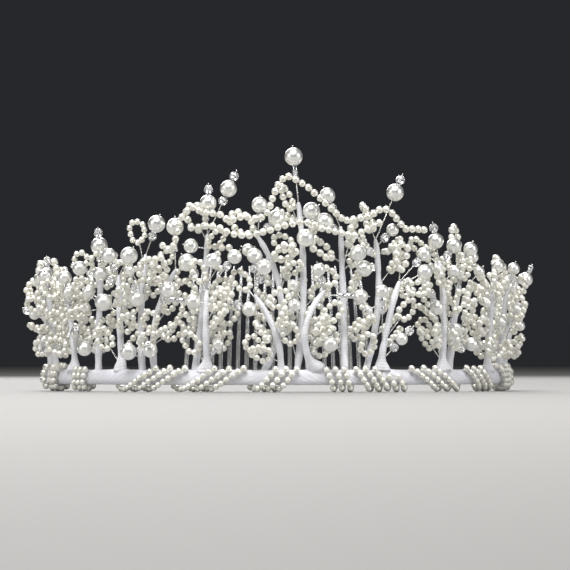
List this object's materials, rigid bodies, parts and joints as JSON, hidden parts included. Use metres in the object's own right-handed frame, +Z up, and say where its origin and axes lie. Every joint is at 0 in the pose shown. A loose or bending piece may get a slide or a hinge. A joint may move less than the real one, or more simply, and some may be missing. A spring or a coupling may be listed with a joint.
{
  "type": "tall tiara",
  "caption": "Tall bridal tiara: a C-shaped floss-wrapped band with wrapped wire stems carrying pearls, cut crystals and loops of small pearls, and a clear comb behind.",
  "frame": {"origin": "centre of the band's arc, on the plane that the tiara rests on", "axes": "+Z up, -Y to the front with the tallest sprays, +X to the right of a viewer facing the front"},
  "size_m": [0.177, 0.1056, 0.0816],
  "materials": {
    "floss": "white satin floss wound close, soft sheen",
    "large_pearl": "white imitation pearl, smooth lustre",
    "small_pearl": "ivory imitation pearl, smooth lustre",
    "cut_crystal": "clear cut glass, polished facets",
    "clear_plastic": "clear moulded plastic, smooth",
    "silver_wire": "bright silver-plated wire, two strands twisted"
  },
  "bodies": {
    "root": {"band": "floss", "comb": "clear_plastic", "comb_ties": "floss", "garland_upper": "small_pearl", "garland_lower": "small_pearl", "wound_left": "small_pearl", "wound_right": "small_pearl", "stem_01": "floss", "stem_02": "floss", "stem_03": "floss", "stem_04": "floss", "stem_05": "floss", "stem_06": "floss", "stem_07": "floss", "stem_08": "floss", "stem_09": "floss", "stem_10": "floss", "stem_11": "floss", "stem_12": "floss", "stem_13": "floss", "stem_14": "floss", "stem_15": "floss", "stem_16": "floss", "stem_17": "floss", "stem_18": "floss", "stem_19": "floss", "stem_20": "floss", "stem_21": "floss", "stem_22": "floss", "stem_23": "floss", "pearls_left_side": "large_pearl", "crystals_left_side": "cut_crystal", "loops_left_side": "small_pearl", "pearls_left_temple": "large_pearl", "crystals_left_temple": "cut_crystal", "loops_left_temple": "small_pearl", "pearls_left_front": "large_pearl", "crystals_left_front": "cut_crystal", "loops_left_front": "small_pearl", "pearls_centre": "large_pearl", "crystals_centre": "cut_crystal", "loops_centre": "small_pearl", "pearls_right_front": "large_pearl", "crystals_right_front": "cut_crystal", "loops_right_front": "small_pearl", "pearls_right_temple": "large_pearl", "crystals_right_temple": "cut_crystal", "loops_right_temple": "small_pearl", "pearls_right_side": "large_pearl", "crystals_right_side": "cut_crystal", "loops_right_side": "small_pearl"}
  },
  "joints": []
}
